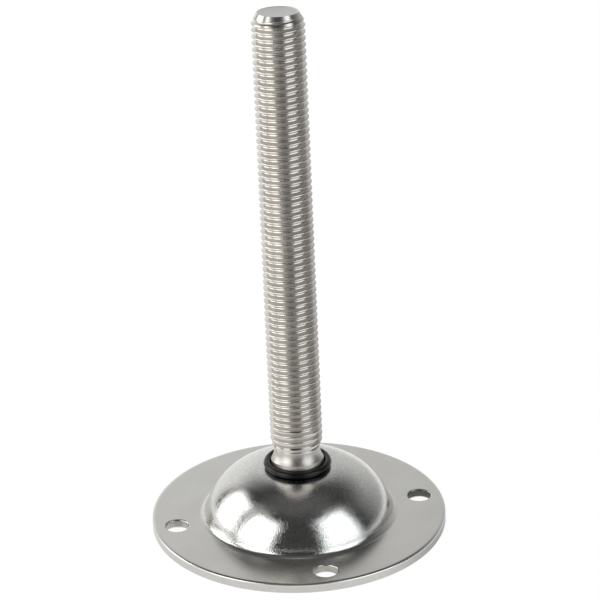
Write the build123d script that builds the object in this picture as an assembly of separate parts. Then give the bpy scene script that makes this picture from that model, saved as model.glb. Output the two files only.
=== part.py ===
from build123d import *
from math import acos, asin, atan2, degrees, sqrt
import os

# Base: a round plate pressed from stainless sheet, with a domed middle
PLATE_D = 90.0
SHEET = 3.0
RIM_BREAK = 0.5  # broken upper outer edge
DOME_D = 58.4  # widest, where the shoulder turns upright
DOME_H = 19.3  # floor to the crown, before the crown is pierced
CROWN_R = 115.0  # the crown is nearly flat
SHOULDER_R = 19.4
DOME_FILLET = 2.0  # dome into flange
HOLE_D = 7.0
HOLE_COUNT = 4
HOLE_PLACE = 0.52  # share of the flange between dome and rim
HOLE_BREAK = 0.3  # broken upper edge of the punched holes

# Stud: turned from 16 mm bar, at the outer size of its M16 x 2 thread
STUD_D = 16.0
STUD_L = 141.65  # swivel centre to the top face
TOP_FACE_D = 12.4
TOP_CHAMFER_H = 3.0
NECK_D = 14.0  # plain neck below the thread
NECK_L = 0.745
LEAD_H = 2.76  # thread runs out towards the neck
FLARE_D = 16.1  # rim of the hollow flare, just above the O-ring
FLARE_LOW = 1.5  # that rim above the swivel centre
FLARE_H = 3.1  # from the rim up to the neck
BALL_D = 16.2
TAIL_D = 7.0  # shank that holds the stud down
HEAD_D = 10.8  # riveted end of the shank
HEAD_H = 2.4
HEAD_CHAMFER = 0.8

# Swivel: seat cup under the crown, O-ring on it, washer on the shank
RING_CORD = 2.1
CUP_SHEET = 2.0
CUP_D = 22.6
CUP_HOLE_D = 10.3  # lets the shank swing
WASHER_D = 13.0
WASHER_T = 1.6  # at its bore
SWIVEL_GAP = 0.1  # between all turning faces
CROWN_GAP = 0.3  # ball to the pierced crown

# Rest position: the stud's lean and the heading it leans towards
LEAN = 6.28
LEAN_HEADING = 86.6

os.makedirs("parts", exist_ok=True)


def turned(section):
    return revolve(section.sketch, Axis.Z)


# Dome arcs: the shoulder is tangent inside the crown and upright at the dome's widest
shoulder_x = DOME_D / 2 - SHOULDER_R
crown_z = DOME_H - CROWN_R
shoulder_z = crown_z + sqrt((CROWN_R - SHOULDER_R) ** 2 - shoulder_x**2)
join_angle = degrees(atan2(shoulder_z - crown_z, shoulder_x))
foot_angle = degrees(asin((SHEET - shoulder_z) / SHOULDER_R))
foot_r = shoulder_x + sqrt((SHOULDER_R + DOME_FILLET) ** 2 - (SHEET + DOME_FILLET - shoulder_z) ** 2)

# Swivel centre: the O-ring lies on the crown with the ball's widest part in its plane
ball_r = BALL_D / 2
ring_r = ball_r + SWIVEL_GAP + RING_CORD / 2
ring_z = crown_z + sqrt((CROWN_R + RING_CORD / 2 + SWIVEL_GAP / 2) ** 2 - ring_r**2)
swivel = Pos(0, 0, ring_z)
leaned = swivel * Rot(0, 0, LEAN_HEADING) * Rot(0, LEAN, 0)

# Base plate: the outer line of the sheet, thickened inwards and turned
rim_r = PLATE_D / 2
hole_circle_r = foot_r + HOLE_PLACE * (rim_r - foot_r)
crown_hole_r = ball_r + CROWN_GAP
crown_start = degrees(acos(crown_hole_r / CROWN_R))
with BuildSketch(Plane.XZ) as plate_section:
    with BuildLine():
        crown = CenterArc((0, crown_z), CROWN_R, crown_start, join_angle - crown_start)
        shoulder = CenterArc((shoulder_x, shoulder_z), SHOULDER_R, join_angle, foot_angle - join_angle)
        Line(shoulder @ 1, (rim_r, SHEET))
        fillet(vertices().sort_by_distance(shoulder @ 1)[0], DOME_FILLET)
        offset(amount=SHEET, side=Side.RIGHT)
    make_face()

with BuildPart() as base_plate:
    add(turned(plate_section))
    with PolarLocations(hole_circle_r, HOLE_COUNT):
        Cylinder(HOLE_D / 2, 4 * SHEET, mode=Mode.SUBTRACT)
    top_edges = edges().filter_by(GeomType.CIRCLE).filter_by_position(Axis.Z, SHEET - 0.01, SHEET + 0.01)
    chamfer(top_edges.filter_by(lambda e: abs(e.radius - HOLE_D / 2) < 0.01), HOLE_BREAK)
    chamfer(top_edges.filter_by(lambda e: abs(e.radius - rim_r) < 0.01), RIM_BREAK)

# Seat cup: a pressed bowl round the swivel centre, its flange against the crown's underside
seat_r = ball_r + SWIVEL_GAP
cup_r = seat_r + CUP_SHEET
under_r = CROWN_R - SHEET
with BuildSketch(Plane.XZ) as cup_section:
    with Locations((0, crown_z)):
        Circle(under_r)
        Circle(under_r - CUP_SHEET, mode=Mode.SUBTRACT)
    with Locations((0, ring_z)):
        Circle(cup_r)
        Circle(seat_r, mode=Mode.SUBTRACT)
    with Locations((0, crown_z)):
        Circle(under_r, mode=Mode.INTERSECT)
    cup_span = (CUP_D - CUP_HOLE_D) / 2
    with Locations(((CUP_HOLE_D + CUP_D) / 4, ring_z - cup_r)):
        Rectangle(cup_span, 2 * cup_r, mode=Mode.INTERSECT)
seat_cup = turned(cup_section)

# O-ring: lies flat on the crown round the ball
o_ring = swivel * Torus(ring_r, RING_CORD / 2)

# Retaining washer: a hollowed top that slides on the cup, and a flat underside
washer_r = cup_r + SWIVEL_GAP
bore_r = TAIL_D / 2 + SWIVEL_GAP
washer_low = -sqrt(washer_r**2 - bore_r**2) - WASHER_T
with BuildSketch(Plane.XZ) as washer_section:
    with Locations((bore_r, washer_low)):
        Rectangle(WASHER_D / 2 - bore_r, -washer_low, align=(Align.MIN, Align.MIN))
    Circle(washer_r, mode=Mode.SUBTRACT)
retaining_washer = leaned * turned(washer_section)

# Stud: thread blank, neck, flare, ball, shank and riveted end, drawn about the swivel centre
stud_r = STUD_D / 2
neck_r = NECK_D / 2
tail_r = TAIL_D / 2
flare_r = FLARE_D / 2
neck_low = FLARE_LOW + FLARE_H
neck_top = neck_low + NECK_L
head_top = washer_low - SWIVEL_GAP / 2
head_low = head_top - HEAD_H
tail_angle = -degrees(acos(tail_r / ball_r))
edge_angle = degrees(acos(flare_r / ball_r))
with BuildSketch(Plane.XZ) as stud_section:
    with BuildLine():
        ball = CenterArc((0, 0), ball_r, tail_angle, edge_angle - tail_angle)
        flare = TangentArc((neck_r, neck_low), (flare_r, FLARE_LOW), tangent=(0, -1))
        Line(ball @ 1, flare @ 1)
        Polyline(
            flare @ 0,
            (neck_r, neck_top),
            (stud_r, neck_top + LEAD_H),
            (stud_r, STUD_L - TOP_CHAMFER_H),
            (TOP_FACE_D / 2, STUD_L),
            (0, STUD_L),
            (0, head_low),
            (HEAD_D / 2 - HEAD_CHAMFER, head_low),
            (HEAD_D / 2, head_low + HEAD_CHAMFER),
            (HEAD_D / 2, head_top),
            (tail_r, head_top),
            ball @ 0,
        )
    make_face()
threaded_stud = leaned * turned(stud_section)

export_step(base_plate.part, "parts/base_plate.step")
export_step(seat_cup, "parts/seat_cup.step")
export_step(o_ring, "parts/o_ring.step")
export_step(retaining_washer, "parts/retaining_washer.step")
export_step(threaded_stud, "parts/threaded_stud.step")
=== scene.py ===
from math import acos, atan2, cos, degrees, pi, radians, sin, sqrt, tan

import bpy
from mathutils import Matrix, Vector


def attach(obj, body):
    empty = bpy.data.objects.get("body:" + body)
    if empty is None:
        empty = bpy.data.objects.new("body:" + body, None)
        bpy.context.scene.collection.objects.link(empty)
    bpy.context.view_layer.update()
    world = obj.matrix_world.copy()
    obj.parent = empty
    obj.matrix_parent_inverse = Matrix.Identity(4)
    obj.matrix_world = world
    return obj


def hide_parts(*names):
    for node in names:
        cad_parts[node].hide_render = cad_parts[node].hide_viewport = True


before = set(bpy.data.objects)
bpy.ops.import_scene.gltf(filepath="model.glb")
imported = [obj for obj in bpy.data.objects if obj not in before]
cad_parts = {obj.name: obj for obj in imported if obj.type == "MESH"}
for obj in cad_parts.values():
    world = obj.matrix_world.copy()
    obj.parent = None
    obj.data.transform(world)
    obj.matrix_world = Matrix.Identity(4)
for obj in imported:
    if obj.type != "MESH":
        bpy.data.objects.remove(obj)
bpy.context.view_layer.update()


# Base plate: one round of 3 mm stainless sheet with an eased rim, pressed up into a dome
# and pierced for the ball. Four holes for floor screws are punched in its flange, which
# keeps the sheet's satin face, while the dome is polished.
MM = 0.001
SHEET = 3.0
RIM_R = 45.0
RIM_EASE = 1.5
RIM_EASE_TURN = 30.0
RIM_ROUND = 0.35
LOWER_ROUND = 0.25
CROWN_HOLE_R = 8.4
CROWN_R = 115.0
DOME_H = 19.3
DOME_R = 29.2
CROWN_Z = DOME_H - CROWN_R
SHOULDER_R = 19.4
SHOULDER_X = DOME_R - SHOULDER_R
SHOULDER_Z = CROWN_Z + sqrt((CROWN_R - SHOULDER_R) ** 2 - SHOULDER_X**2)
FOOT_FILLET = 2.0
HOLE_R = 3.5
HOLE_ROUND = 0.5
HOLE_ROUND_TURN = 84.0
HOLE_BREAKOUT = 0.7
HOLE_PLACE = 0.52
CUT_OVER = 1.0


class Outline:
    """A section in the XZ plane, drawn in millimetres by pushing one vertex along."""

    def __init__(self, name, x, z):
        bpy.ops.object.select_all(action="DESELECT")
        bpy.ops.mesh.primitive_plane_add(size=MM)
        self.piece = bpy.context.object
        self.piece.name = name
        bpy.ops.object.mode_set(mode="EDIT")
        bpy.ops.mesh.select_all(action="SELECT")
        bpy.ops.mesh.merge(type="CENTER")
        bpy.ops.transform.translate(value=(x * MM, 0, z * MM))
        self.x, self.z = x, z

    def line(self, x, z, steps=1):
        step = ((x - self.x) * MM / steps, 0, (z - self.z) * MM / steps)
        for _ in range(steps):
            bpy.ops.mesh.extrude_region_move(TRANSFORM_OT_translate={"value": step})
        self.x, self.z = x, z

    def arc(self, x, z, turn, steps):
        """Swings round (x, z) by turn degrees, positive from X towards Z."""
        a = radians(turn)
        bpy.ops.mesh.spin(steps=steps, angle=a, center=(x * MM, 0, z * MM), axis=(0, 1, 0))
        dx, dz = self.x - x, self.z - z
        self.x, self.z = x + dx * cos(a) - dz * sin(a), z + dx * sin(a) + dz * cos(a)

    def turned(self, steps):
        """Closes the outline on itself or the axis and spins it into a solid."""
        bpy.ops.mesh.select_all(action="SELECT")
        bpy.ops.mesh.remove_doubles(threshold=1e-7)
        bpy.ops.mesh.spin(steps=steps, angle=2 * pi, center=(0, 0, 0), axis=(0, 0, 1))
        bpy.ops.mesh.select_all(action="SELECT")
        bpy.ops.mesh.remove_doubles(threshold=1e-7)
        bpy.ops.mesh.normals_make_consistent(inside=False)
        bpy.ops.object.mode_set(mode="OBJECT")
        return self.piece


def pick(piece):
    bpy.ops.object.select_all(action="DESELECT")
    piece.select_set(True)
    bpy.context.view_layer.objects.active = piece


def combine(piece, tool, operation):
    """Cuts, keeps or joins the tool's volume, and takes the tool away."""
    pick(piece)
    bpy.ops.object.modifier_add(type="BOOLEAN")
    cut = piece.modifiers[-1]
    cut.operation = operation
    cut.solver = "EXACT"
    cut.object = tool
    bpy.ops.object.modifier_apply(modifier=cut.name)
    pick(tool)
    bpy.ops.object.delete()


def smooth(piece, angle):
    """Smooth shading up to the angle, with flat faces kept flat beside rounded edges."""
    pick(piece)
    bpy.ops.object.shade_smooth_by_angle(angle=radians(angle))
    bpy.ops.object.modifier_add(type="WEIGHTED_NORMAL")
    piece.modifiers[-1].keep_sharp = True
    bpy.ops.object.modifier_apply(modifier=piece.modifiers[-1].name)


foot_z = SHEET + FOOT_FILLET
foot_x = SHOULDER_X + sqrt((SHOULDER_R + FOOT_FILLET) ** 2 - (foot_z - SHOULDER_Z) ** 2)
foot_angle = degrees(atan2(foot_z - SHOULDER_Z, foot_x - SHOULDER_X))
join_angle = degrees(atan2(SHOULDER_Z - CROWN_Z, SHOULDER_X))
plate = Outline("plate", CROWN_HOLE_R, CROWN_Z + sqrt(CROWN_R**2 - CROWN_HOLE_R**2))
plate.arc(0, CROWN_Z, join_angle - degrees(acos(CROWN_HOLE_R / CROWN_R)), steps=4)
plate.arc(SHOULDER_X, SHOULDER_Z, foot_angle - join_angle, steps=48)
plate.arc(foot_x, foot_z, 90 - foot_angle, steps=12)
ease_x = (RIM_EASE - RIM_ROUND) * sin(radians(RIM_EASE_TURN))
ease_z = (RIM_EASE - RIM_ROUND) * cos(radians(RIM_EASE_TURN))
plate.line(RIM_R - RIM_ROUND - ease_x, SHEET, steps=10)
plate.arc(RIM_R - RIM_ROUND - ease_x, SHEET - RIM_EASE, -RIM_EASE_TURN, steps=4)
plate.arc(RIM_R - RIM_ROUND, SHEET - RIM_EASE + ease_z, RIM_EASE_TURN - 90, steps=5)
plate.line(RIM_R, LOWER_ROUND, steps=3)
plate.arc(RIM_R - LOWER_ROUND, LOWER_ROUND, -90, steps=3)
plate.line(foot_x, 0, steps=6)
plate.arc(foot_x, foot_z, foot_angle - 90, steps=10)
plate.arc(SHOULDER_X, SHOULDER_Z, join_angle - foot_angle, steps=24)
plate.arc(0, CROWN_Z, degrees(acos(CROWN_HOLE_R / (CROWN_R - SHEET))) - join_angle, steps=3)
plate.line(CROWN_HOLE_R, CROWN_Z + sqrt(CROWN_R**2 - CROWN_HOLE_R**2))
plate = plate.turned(steps=288)

hole = Outline("hole", 0, -CUT_OVER)
hole.line(HOLE_R + HOLE_BREAKOUT + CUT_OVER, -CUT_OVER)
hole.line(HOLE_R, HOLE_BREAKOUT)
hole.line(HOLE_R, SHEET - HOLE_ROUND)
hole.arc(HOLE_R + HOLE_ROUND, SHEET - HOLE_ROUND, -HOLE_ROUND_TURN, steps=6)
hole.line(HOLE_R + HOLE_ROUND, SHEET + CUT_OVER)
hole.line(0, SHEET + CUT_OVER)
hole = hole.turned(steps=72)
hole_place = foot_x + HOLE_PLACE * (RIM_R - foot_x)
hole.location.x = hole_place * MM
bpy.ops.object.transform_apply(location=True)
for quarter in range(1, 4):
    pick(hole)
    bpy.ops.object.duplicate()
    bpy.context.object.rotation_euler.z = quarter * pi / 2
    bpy.ops.object.transform_apply(rotation=True)
    combine(plate, bpy.context.object, "DIFFERENCE")
combine(plate, hole, "DIFFERENCE")
smooth(plate, angle=40)


class Shade:
    """A socket of a material's nodes: sums with it add Math nodes, node() adds any other."""

    def __init__(self, tree, socket=None):
        self.tree, self.socket = tree, socket

    def node(self, kind, settings=None, sockets=None, output=0):
        made = self.tree.nodes.new("ShaderNode" + kind)
        for name, value in (settings or {}).items():
            setattr(made, name, value)
        for name, value in (sockets or {}).items():
            if isinstance(value, Shade):
                self.tree.links.new(value.socket, made.inputs[name])
            else:
                made.inputs[name].default_value = value
        return Shade(self.tree, made.outputs[output] if made.outputs else None)

    def math(self, operation, *values):
        return self.node("Math", {"operation": operation}, dict(enumerate(values)))

    def __add__(self, other):
        return self.math("ADD", self, other)

    def __sub__(self, other):
        return self.math("SUBTRACT", self, other)

    def __rsub__(self, other):
        return self.math("SUBTRACT", other, self)

    def __mul__(self, other):
        return self.math("MULTIPLY", self, other)

    def __pow__(self, other):
        return self.math("POWER", self, other)

    __radd__ = __add__
    __rmul__ = __mul__

    def between(self, low, high, start=0.0, end=1.0):
        """start below low, end above high, and a smooth step from one to the other."""
        span = {"Value": self, "From Min": low, "From Max": high, "To Min": start, "To Max": end}
        return self.node("MapRange", {"interpolation_type": "SMOOTHSTEP"}, span)

    def mix(self, first, second):
        """A colour that goes from first to second as this value goes from 0 to 1."""
        return self.node("Mix", {"data_type": "RGBA"}, {0: self, 6: first, 7: second}, 2)

    def bump(self, depth, strength):
        """A normal for a surface that this value raises by depth millimetres."""
        raised = {"Height": self, "Distance": depth * MM, "Strength": strength}
        return self.node("Bump", None, raised)


def finish(name):
    """A new material, its empty nodes and the place on the piece that they colour."""
    material = bpy.data.materials.new(name)
    material.use_nodes = True
    material.node_tree.nodes.clear()
    shade = Shade(material.node_tree)
    place = shade.node("TexCoord", output=3)
    return material, shade, place


def numbers(point):
    apart = point.node("SeparateXYZ", None, {0: point})
    return [Shade(point.tree, s) for s in apart.socket.node.outputs]


def surface(shade, **sockets):
    named = {name.replace("_", " "): value for name, value in sockets.items()}
    shade.node("OutputMaterial", None, {0: shade.node("BsdfPrincipled", None, named)})


# Painted shade along X: the hole walls darken towards +X, and the rim's edge darkens on the right
# side
HOLE_SHADE_FROM, HOLE_SHADE_TO = 25.0, 30.0
EDGE_SHADE_FROM, EDGE_SHADE_TO = 14.0, 43.0
DOME_GRAIN = 0.045
plate_steel, shade, place = finish("plate_steel")
x, y, z = numbers(place)
from_axis = (x * x + y * y) ** 0.5
hole_x = hole_place * MM
across = ((x.math("ABSOLUTE", x) - hole_x) ** 2 + y * y) ** 0.5
along = ((y.math("ABSOLUTE", y) - hole_x) ** 2 + x * x) ** 0.5
from_hole = across.math("MINIMUM", across, along)
in_hole = from_hole.between((HOLE_R + 0.05) * MM, (HOLE_R + 0.2) * MM, 1.0, 0.0)
on_rim = from_axis.between((RIM_R - 0.3) * MM, (RIM_R - 0.1) * MM)
on_rim = on_rim * z.between((SHEET - 0.7) * MM, (SHEET - 0.55) * MM, 1.0, 0.0)
sheared = in_hole.math("MAXIMUM", in_hole, on_rim)
flange = from_axis.between(DOME_R * MM, (DOME_R + 1.4) * MM)
grain = shade.node("TexNoise", None, {"Vector": place, "Scale": 2600.0, "Detail": 1.0})
grit = shade.node("TexNoise", None, {"Vector": place, "Scale": 4000.0, "Detail": 2.0})
wave = shade.node("TexNoise", None, {"Vector": place, "Scale": 260.0, "Detail": 1.0})
cloud = shade.node("TexNoise", None, {"Vector": place, "Scale": 90.0, "Detail": 3.0})
satin = cloud.between(0.3, 0.7).mix((0.665, 0.657, 0.632, 1), (0.707, 0.70, 0.675, 1))
polished = grain.between(0.3, 0.7).mix((0.53, 0.525, 0.505, 1), (0.70, 0.695, 0.67, 1))
# Hole walls: rough sheared steel, its colour darkened as painted shade for the shadowed floor
# inside the holes
sheared_and_shaded = wave.between(0.35, 0.65).mix((0.34, 0.325, 0.30, 1), (0.50, 0.485, 0.455, 1))
# Darker painted shade for the hole walls on the +X side, where the dome shades them from the left
# light
painted_hole_shade = grit.between(0.35, 0.65).mix((0.07, 0.07, 0.065, 1), (0.14, 0.14, 0.13, 1))
wall = x.between(HOLE_SHADE_FROM * MM, HOLE_SHADE_TO * MM).mix(sheared_and_shaded, painted_hole_shade)
bare = grit.between(0.35, 0.65).mix((0.52, 0.51, 0.49, 1), (0.62, 0.61, 0.585, 1))
# Painted shade: the rim's edge darkens on the +X side, standing in for its darker reflection there
painted_edge_shade = grit.between(0.35, 0.65).mix((0.24, 0.24, 0.245, 1), (0.33, 0.33, 0.34, 1))
edge = x.between(EDGE_SHADE_FROM * MM, EDGE_SHADE_TO * MM).mix(bare, painted_edge_shade)
rough = 0.14 + 0.11 * flange + 0.03 * (cloud - 0.5) + 0.12 * sheared
rough = rough + 0.2 * (grain - 0.5) * (1 - flange)
relief = grain * (1 - 0.93 * flange)
surface(
    shade,
    Base_Color=sheared.mix(flange.mix(polished, satin), in_hole.mix(edge, wall)),
    Metallic=1.0,
    Roughness=rough,
    Normal=relief.bump(DOME_GRAIN, strength=1.0),
)
plate.data.materials.append(plate_steel)
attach(plate, "base")
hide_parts("base_plate")


# Seat cup: a bowl pressed from 2 mm stainless sheet that carries the ball, spot welded
# by its flange to the underside of the crown. It is left dull from the press.
inner_steel, shade, place = finish("inner_steel")
press = shade.node("TexNoise", None, {"Vector": place, "Scale": 700.0, "Detail": 4.0})
surface(
    shade,
    Base_Color=press.mix((0.50, 0.495, 0.48, 1), (0.58, 0.575, 0.56, 1)),
    Metallic=1.0,
    Roughness=0.3 + 0.15 * press,
)
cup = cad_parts["seat_cup"]
cup.data.materials.clear()
cup.data.materials.append(inner_steel)


# O-ring: black rubber cord moulded in a ring, 2.1 mm thick, that lies on the crown
# round the ball and keeps dirt out of the joint. A thin parting line is left round it.
RING_R = 9.25
CORD_R = 1.05
RING_GAP = 0.05
SWIVEL_Z = CROWN_Z + sqrt((CROWN_R + CORD_R + RING_GAP) ** 2 - RING_R**2)
FLASH = 0.07
FLASH_HALF = 0.03
FLASH_ANGLE = 4.0
PIT_DEPTH = 0.01
ring = Outline("ring", RING_R - CORD_R, SWIVEL_Z)
ring.arc(RING_R, SWIVEL_Z, 180 - FLASH_ANGLE, steps=28)
ring.line(RING_R + CORD_R + FLASH, SWIVEL_Z - FLASH_HALF)
ring.line(RING_R + CORD_R + FLASH, SWIVEL_Z + FLASH_HALF)
flash_x = RING_R + CORD_R * cos(radians(FLASH_ANGLE))
ring.line(flash_x, SWIVEL_Z + CORD_R * sin(radians(FLASH_ANGLE)))
ring.arc(RING_R, SWIVEL_Z, 180 - FLASH_ANGLE, steps=28)
ring = ring.turned(steps=192)
smooth(ring, angle=30)
rubber, shade, place = finish("ring_rubber")
bloom = shade.node("TexNoise", None, {"Vector": place, "Scale": 500.0, "Detail": 4.0})
pits = shade.node("TexNoise", None, {"Vector": place, "Scale": 6000.0, "Detail": 2.0})
surface(
    shade,
    Base_Color=bloom.mix((0.002, 0.002, 0.0023, 1), (0.005, 0.005, 0.0055, 1)),
    Specular_IOR_Level=0.3,
    Roughness=0.2 + 0.12 * bloom,
    Normal=pits.bump(PIT_DEPTH, strength=0.3),
)
ring.data.materials.append(rubber)
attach(ring, "ring")
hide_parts("o_ring")


# Threaded stud: turned from 16 mm stainless bar, with a rolled M16 x 2 thread that runs out
# on a plain neck, and a hollow flare over the ball. A shank goes down from the ball through
# the seat cup and the washer, and is riveted there.
PITCH = 2.0
STUD_R = 8.0
STUD_L = 141.65
CREST_R = 0.2165
ROOT_R = 0.2887
FLANK_TURN = 60.0
THREAD_START = -13.4
TURNS = 72
TURN_STEPS = 80
THREAD_LOW = 4.0
THREAD_HIGH = STUD_L + 1.0
TOP_R = 6.2
TOP_CHAMFER_H = 3.0
LIP = 0.18
LIP_R = 5.75
MARK_R = 0.55
MARK_DEPTH = 0.16
NECK_R = 7.0
NECK_TOP = 5.35
LEAD_H = 2.76
LEAD_UNDER, LEAD_OVER = 0.1, 1.2
CORE_TOP = 12.0
FLARE_R = 8.05
FLARE_LOW = 1.5
FLARE_H = 3.1
BALL_R = 8.1
TAIL_R = 3.5
HEAD_TOP = -11.3
HEAD_R = 5.4
HEAD_H = 2.4
HEAD_CHAMFER = 0.8
LEAN = 6.28
LEAN_HEADING = 86.6
ROLLED_GRAIN = 0.01

# One pitch of the thread, crest to crest, rolled up the bar
thread = Outline("stud", STUD_R, 0)
thread.arc(STUD_R - CREST_R, 0, FLANK_TURN, steps=3)
flank_x = thread.x
root_x = STUD_R - CREST_R - sqrt(3) * (PITCH / 2) + 2 * (CREST_R + ROOT_R)
flank = radians(FLANK_TURN)
thread.line(root_x - ROOT_R * cos(flank), PITCH / 2 - ROOT_R * sin(flank))
thread.arc(root_x, PITCH / 2, -2 * FLANK_TURN, steps=6)
thread.line(flank_x, PITCH - CREST_R * sin(flank))
thread.arc(STUD_R - CREST_R, PITCH, FLANK_TURN, steps=3)
bpy.ops.object.mode_set(mode="OBJECT")
stud = thread.piece
bpy.ops.object.modifier_add(type="SCREW")
roll = stud.modifiers[-1]
roll.screw_offset = PITCH * MM
roll.iterations = TURNS
roll.steps = roll.render_steps = TURN_STEPS
bpy.ops.object.modifier_apply(modifier=roll.name)
bpy.ops.object.mode_set(mode="EDIT")
bpy.ops.mesh.select_all(action="SELECT")
bpy.ops.mesh.remove_doubles(threshold=2e-7)
for cut_z, side in ((THREAD_LOW, -1), (THREAD_HIGH, 1)):
    bpy.ops.mesh.select_all(action="SELECT")
    bpy.ops.mesh.bisect(
        plane_co=(0, 0, cut_z * MM), plane_no=(0, 0, side), use_fill=True, clear_outer=True
    )
bpy.ops.mesh.select_all(action="SELECT")
bpy.ops.mesh.normals_make_consistent(inside=False)
bpy.ops.object.mode_set(mode="OBJECT")

# The turned blank trims it: lead at the neck, chamfered top, sawn face with a centre mark
lead_in = STUD_R - NECK_R
blank_r = NECK_R + LEAD_OVER * lead_in
blank_low = NECK_TOP - LEAD_UNDER * LEAD_H
blank_high = STUD_L - TOP_CHAMFER_H * (blank_r - TOP_R) / (STUD_R - TOP_R)
face_z = STUD_L - LIP
blank = Outline("blank", 0, blank_low)
blank.line(NECK_R - LEAD_UNDER * lead_in, blank_low)
blank.line(blank_r, NECK_TOP + LEAD_OVER * LEAD_H)
blank.line(blank_r, blank_high)
blank.line(TOP_R, STUD_L)
blank.line(LIP_R, face_z)
blank.line(MARK_R, face_z)
blank.line(0, face_z - MARK_DEPTH)
blank = blank.turned(steps=160)
combine(stud, blank, "INTERSECT")

# Riveted end, shank, ball, flare and neck, with a core up into the thread
ball = Outline("ball", 0, HEAD_TOP - HEAD_H)
ball.line(HEAD_R - HEAD_CHAMFER, HEAD_TOP - HEAD_H)
ball.line(HEAD_R, HEAD_TOP - HEAD_H + HEAD_CHAMFER)
ball.line(HEAD_R, HEAD_TOP)
ball.line(TAIL_R, HEAD_TOP)
ball.line(TAIL_R, -sqrt(BALL_R**2 - TAIL_R**2))
ball.arc(0, 0, degrees(acos(TAIL_R / BALL_R)) + degrees(acos(FLARE_R / BALL_R)), steps=36)
ball.line(FLARE_R, FLARE_LOW)
flare_turn = 2 * atan2(FLARE_R - NECK_R, FLARE_H)
flare_x = NECK_R + FLARE_H / sin(flare_turn)
ball.arc(flare_x, FLARE_LOW + FLARE_H, -degrees(flare_turn), steps=14)
ball.line(NECK_R, CORE_TOP)
ball.line(0, CORE_TOP)
ball = ball.turned(steps=160)
combine(stud, ball, "UNION")
smooth(stud, angle=24)
pick(stud)
lean = Matrix.Rotation(radians(LEAN_HEADING), 4, "Z") @ Matrix.Rotation(radians(LEAN), 4, "Y")
roll_turn = Matrix.Rotation(radians(THREAD_START), 4, "Z")
stud.matrix_world = Matrix.Translation((0, 0, SWIVEL_Z * MM)) @ lean @ roll_turn
bpy.ops.object.transform_apply(location=True, rotation=True)

stud_steel, shade, place = finish("stud_steel")
stud_turn = (lean @ roll_turn).to_euler()
upright = {"Vector": place, "Location": (0, 0, SWIVEL_Z * MM), "Rotation": stud_turn}
own = shade.node("Mapping", {"vector_type": "TEXTURE"}, upright)
x, y, z = numbers(own)
from_axis = (x * x + y * y) ** 0.5
top = z.between((face_z - 0.01) * MM, face_z * MM)
top = top * from_axis.between((LIP_R - 0.05) * MM, (LIP_R + 0.05) * MM, 1.0, 0.0)
flare = z.between((NECK_TOP - 0.45) * MM, (NECK_TOP - 0.25) * MM, 1.0, 0.0)
cloud = shade.node("TexNoise", None, {"Vector": own, "Scale": 160.0, "Detail": 3.0})
grain = shade.node("TexNoise", None, {"Vector": own, "Scale": 3500.0, "Detail": 2.0})
tool_marks = {"noise_dimensions": "1D"}
facing = shade.node("TexNoise", tool_marks, {"W": from_axis, "Scale": 5000.0, "Detail": 1.0})
turning = shade.node("TexNoise", tool_marks, {"W": z, "Scale": 2500.0, "Detail": 1.0})
rolled = cloud.between(0.3, 0.7).mix((0.60, 0.575, 0.54, 1), (0.66, 0.635, 0.60, 1))
sawn = facing.mix((0.49, 0.49, 0.48, 1), (0.57, 0.57, 0.56, 1))
relief = grain + 25 * flare * turning + top * facing
surface(
    shade,
    Base_Color=flare.mix(top.mix(rolled, sawn), (0.50, 0.478, 0.448, 1)),
    Metallic=1.0,
    Roughness=0.2 + 0.06 * grain + 0.12 * flare + 0.12 * top,
    Normal=relief.bump(ROLLED_GRAIN, strength=0.3),
)
stud.data.materials.append(stud_steel)
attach(stud, "stud")
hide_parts("threaded_stud")


# Retaining washer: turned stainless, hollowed on top to slide on the seat cup, and held
# on the stud's shank by its riveted end.
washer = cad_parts["retaining_washer"]
washer.data.materials.clear()
washer.data.materials.append(inner_steel)


# Studio: a white table that darkens beyond the picture's front and right edges, soft boxes
# to the left, the back left and the right of the camera, a soft top light for the table,
# and a grey room whose back wall is bright and fades upwards.
VIEW_HEADING = -11.5
CARD_FRONT = 0.062
CARD_RIGHT = 0.098
CARD_FADE = 0.03
TABLE_GLOW = 0.93
TOP_LIGHT_HEIGHT = 1.2
CAMERA_PLACE = (-0.18594, -0.92449, 0.52899)
CAMERA_DOWN = 25.7245
CAMERA_ROLL = -1.5777
CAMERA_LENS = 210.47


def stage_point(azimuth, height, distance):
    """A point by its bearing from the camera's side, positive to the right, in metres."""
    a = radians(azimuth - 90 + VIEW_HEADING)
    return Vector((distance * cos(a), distance * sin(a), height))


def toward(point, azimuth):
    """How far a point of the shader lies in the direction of a bearing."""
    x, y, _ = numbers(point)
    way = stage_point(azimuth, 0, 1)
    return x * way.x + y * way.y


bpy.ops.object.select_all(action="DESELECT")
bpy.ops.mesh.primitive_plane_add(size=2.4)
table = bpy.context.object
table.name = "table"
white, shade, place = finish("table_white")
front = toward(place, 0).between(CARD_FRONT, CARD_FRONT + CARD_FADE)
front = front * toward(place, -90).between(0.01, 0.06, 1.0, 0.0)
right = toward(place, 84).between(CARD_RIGHT, CARD_RIGHT + CARD_FADE)
tint = front.math("MAXIMUM", front, right).mix((1, 1, 1, 1), (0.5, 0.5, 0.5, 1))
ray = shade.node("LightPath").socket.node.outputs
direct = Shade(shade.tree, ray["Is Camera Ray"])
for kind in ("Is Glossy Ray", "Is Transmission Ray"):
    direct = direct.math("MAXIMUM", direct, Shade(shade.tree, ray[kind]))
paint = shade.node("BsdfDiffuse", None, {"Color": tint})
glow = shade.node("Emission", None, {"Color": tint, "Strength": 1.0})
lit = shade.node("MixShader", None, {0: TABLE_GLOW * direct, 1: paint, 2: glow})
shade.node("OutputMaterial", None, {0: lit})
table.data.materials.append(white)


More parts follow.
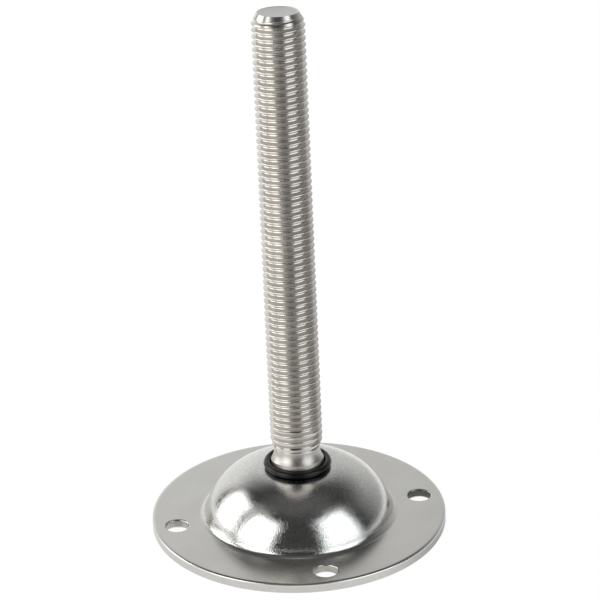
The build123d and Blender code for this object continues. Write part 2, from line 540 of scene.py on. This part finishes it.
def soft_box(name, first, last, top, radiance, lean=0.0):
    """A lamp a metre away between two bearings, from the table to the top, leaned in its plane."""
    width = 2 * tan(radians(last - first) / 2)
    lamp = bpy.data.lights.new(name, "AREA")
    lamp.shape = "RECTANGLE"
    lamp.size, lamp.size_y = width, top
    lamp.energy = 4 * radiance * width * top
    holder = bpy.data.objects.new(name, lamp)
    bpy.context.scene.collection.objects.link(holder)
    middle = (first + last) / 2
    holder.location = stage_point(middle, top / 2, 1.0)
    inward = Matrix.Rotation(radians(middle + VIEW_HEADING), 4, "Z")
    upright = Matrix.Rotation(pi / 2, 4, "X") @ Matrix.Rotation(radians(lean), 4, "Z")
    holder.rotation_euler = (inward @ upright).to_euler()
    holder.visible_camera = False
    return holder


soft_box("left_box", first=-76, last=-33, top=1.14, radiance=2.0, lean=-6)
soft_box("back_left_box", first=-126, last=-89, top=1.0, radiance=2.0, lean=12)
right_box = soft_box("right_box", first=29, last=77, top=1.28, radiance=1.5)
right_box.data.color = (0.93, 0.97, 1.0)
top_light = soft_box("top_light", first=-30, last=30, top=1.2, radiance=2.2)
top_light.location = (0, 0, TOP_LIGHT_HEIGHT)
top_light.rotation_euler = (0, 0, 0)
top_light.visible_glossy = False

world = bpy.data.worlds.new("room")
bpy.context.scene.world = world
world.use_nodes = True
world.node_tree.nodes.clear()
shade = Shade(world.node_tree)
way = shade.node("TexCoord")
z = numbers(way)[2]
# The back wall fades upwards and towards the front left, and is a little darker on the right
wall = 0.25 + 0.72 * toward(way, 202)
wall = wall.math("MAXIMUM", wall, 0.0) * z.between(0.4, 0.85, 1.0, 0.0)
wall = wall * toward(way, -38).between(-0.2, -0.05, 1.0, 0.0)
wall = wall * toward(way, 90).between(-0.05, 0.05, 1.0, 0.84)
# A glow high up on the left and on the right
level = (1 - z * z) ** 0.5
above_left = toward(way, -80).math("DIVIDE", toward(way, -80), level)
above_right = toward(way, 68).math("DIVIDE", toward(way, 68), level)
halo = above_left.math("MAXIMUM", above_left, above_right).between(0.906, 0.99)
halo = halo * z.between(0.62, 0.74) * z.between(0.76, 0.93, 0.45, 0.0)
ceiling = z.between(0.82, 1.0, 0.06, 0.135)
grey = wall + halo + ceiling
tone = shade.node("CombineXYZ", None, {0: grey, 1: grey, 2: grey})
room = shade.node("Background", None, {"Color": tone})
shade.node("OutputWorld", None, {0: room})

camera = bpy.data.cameras.new("camera")
camera.sensor_width = 36.0
camera.lens = CAMERA_LENS
viewer = bpy.data.objects.new("camera", camera)
bpy.context.scene.collection.objects.link(viewer)
viewer.matrix_world = (
    Matrix.Translation(CAMERA_PLACE)
    @ Matrix.Rotation(radians(VIEW_HEADING), 4, "Z")
    @ Matrix.Rotation(radians(90 - CAMERA_DOWN), 4, "X")
    @ Matrix.Rotation(radians(CAMERA_ROLL), 4, "Z")
)
bpy.context.scene.camera = viewer
bpy.context.scene.view_settings.view_transform = "Standard"
